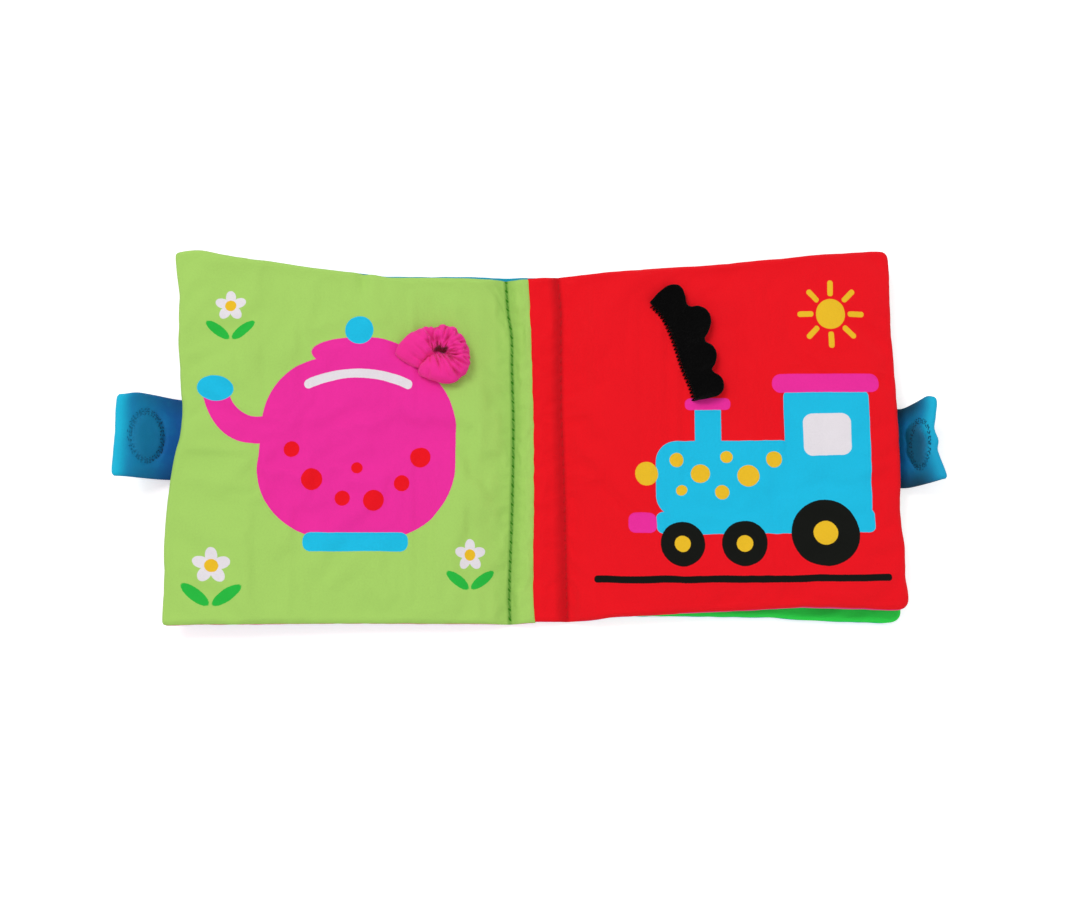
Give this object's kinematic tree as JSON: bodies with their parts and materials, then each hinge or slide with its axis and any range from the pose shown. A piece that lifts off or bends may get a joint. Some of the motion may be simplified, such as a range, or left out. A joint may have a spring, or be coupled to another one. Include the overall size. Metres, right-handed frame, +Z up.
{
  "type": "cloth book",
  "caption": "Soft cloth book lying open: padded cover, padded printed leaf sewn in at the spine, gathered and felt touch pieces, closing tabs at the outer edges.",
  "frame": {"origin": "middle of the spine's underside, where the open book rests", "axes": "+X across the spread to the right page, +Y up the pages, +Z up off the table"},
  "size_m": [0.3511, 0.1626, 0.0215],
  "materials": {
    "black_felt": "brushed black felt",
    "bright_green_cotton": "printed cotton, bright green, plain weave",
    "curl_cotton": "gathered pink cotton",
    "fastener": "soft moulded plastic",
    "light_green_cotton": "printed cotton, light green, plain weave",
    "magenta_cotton": "printed cotton, magenta, plain weave",
    "print_black": "ink on cotton",
    "print_blue": "ink on cotton",
    "print_green": "ink on cotton",
    "print_pink": "ink on cotton",
    "print_red": "ink on cotton",
    "print_white": "ink on cotton",
    "print_yellow": "ink on cotton",
    "red_cotton": "printed cotton, red, plain weave",
    "tab_cloth": "teal blue woven tape with a soft sheen",
    "teal_cotton": "dyed cotton, teal blue, plain weave",
    "wadding": "polyester wadding"
  },
  "bodies": {
    "spine": {"spine_cover_cloth": "teal_cotton", "spine_cover_lining": "teal_cotton", "spine_cover_wadding": "wadding", "spine_green_strip": "light_green_cotton", "spine_page_back_cloth": "magenta_cotton", "spine_page_wadding": "wadding", "spine_red_strip": "red_cotton"},
    "left_cover": {"gathered_curl": "curl_cotton", "left_cover_cloth": "teal_cotton", "left_cover_lining": "teal_cotton", "left_cover_wadding": "wadding", "left_page_back_cloth": "magenta_cotton", "left_page_front_cloth": "light_green_cotton", "left_page_wadding": "wadding", "left_print_blue": "print_blue", "left_print_green": "print_green", "left_print_pink": "print_pink", "left_print_red": "print_red", "left_print_white": "print_white", "left_print_yellow": "print_yellow", "left_tab": "tab_cloth", "left_tab_fastener": "fastener"},
    "right_cover": {"felt_flap": "black_felt", "right_cover_cloth": "teal_cotton", "right_cover_lining": "bright_green_cotton", "right_cover_wadding": "wadding", "right_page_back_cloth": "magenta_cotton", "right_page_front_cloth": "red_cotton", "right_page_wadding": "wadding", "right_print_black": "print_black", "right_print_blue": "print_blue", "right_print_pink": "print_pink", "right_print_white": "print_white", "right_print_yellow": "print_yellow", "right_tab": "tab_cloth", "right_tab_fastener": "fastener"}
  },
  "joints": [
    {"name": "left_cover_fold", "type": "hinge", "parent": "spine", "child": "left_cover", "pos_m": [-0.011, 0, 0], "axis": [0, 1, 0], "range_deg": [0, 86], "deforming": ["gathered_curl"]},
    {"name": "right_cover_fold", "type": "hinge", "parent": "spine", "child": "right_cover", "pos_m": [0.011, 0, 0], "axis": [0, -1, 0], "range_deg": [0, 86]}
  ]
}
